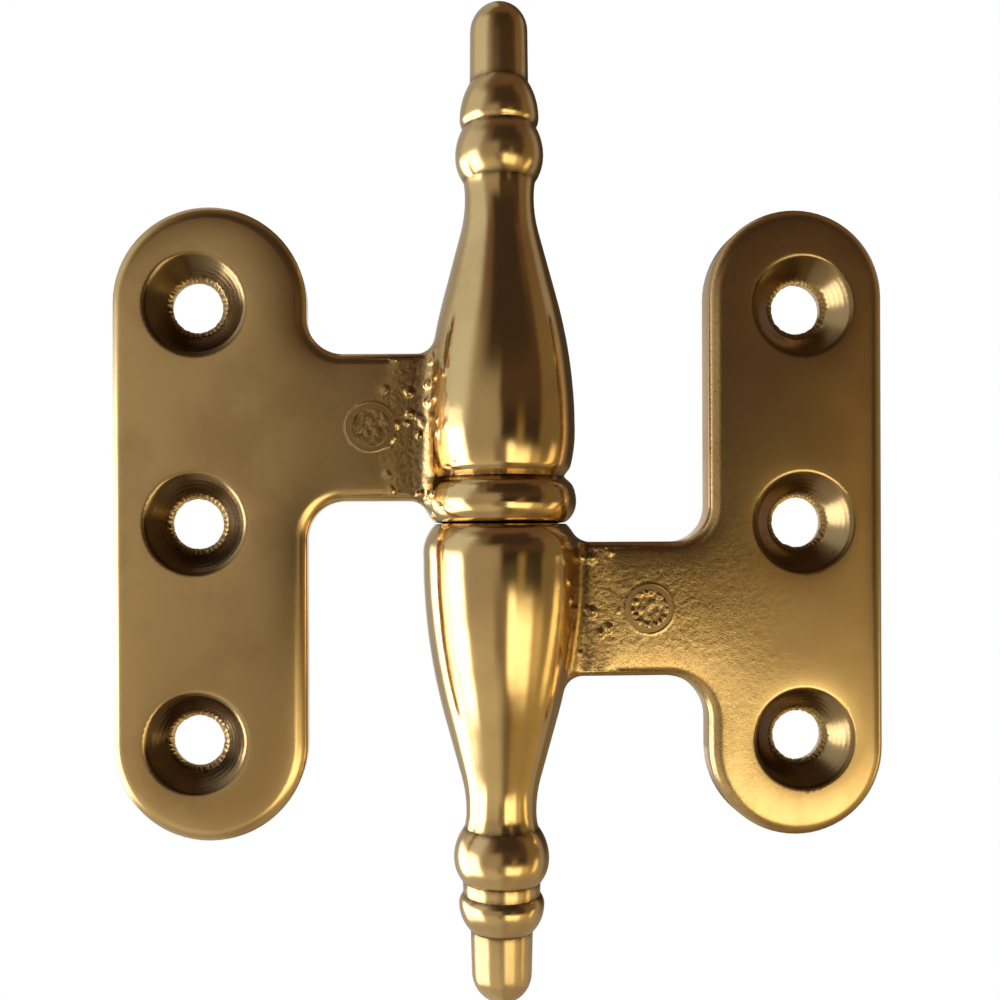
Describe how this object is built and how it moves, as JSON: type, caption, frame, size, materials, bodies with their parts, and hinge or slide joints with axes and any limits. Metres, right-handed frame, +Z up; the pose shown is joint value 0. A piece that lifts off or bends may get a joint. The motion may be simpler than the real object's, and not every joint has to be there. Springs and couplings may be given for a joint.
{
  "type": "lift-off hinge",
  "caption": "Cast brass lift-off hinge with flat round-ended leaves, countersunk screw holes and turned vase-shaped knuckles that end in beaded finials.",
  "frame": {"origin": "on the pin's axis, halfway between the tips of the finials", "axes": "+Z up along the pin, +X from the upper leaf's side to the lower leaf's side, -Y out of the front faces"},
  "size_m": [0.0688, 0.014, 0.0898],
  "materials": {
    "cast_brass": "polished casting, aged, with rough sand-cast necks",
    "pin_steel": "plain ground"
  },
  "bodies": {
    "frame_leaf": {"lower_leaf": "cast_brass"},
    "pin": {"hinge_pin": "pin_steel"},
    "door_leaf": {"upper_leaf": "cast_brass"}
  },
  "joints": [
    {"name": "leaf_swing", "type": "hinge", "parent": "frame_leaf", "child": "pin", "pos_m": [0, 0, 0], "axis": [0, 0, 1], "range_deg": [-165, 165]},
    {"name": "lift_off", "type": "slide", "parent": "pin", "child": "door_leaf", "axis": [0, 0, 1], "range_m": [0, 0.0235]}
  ]
}
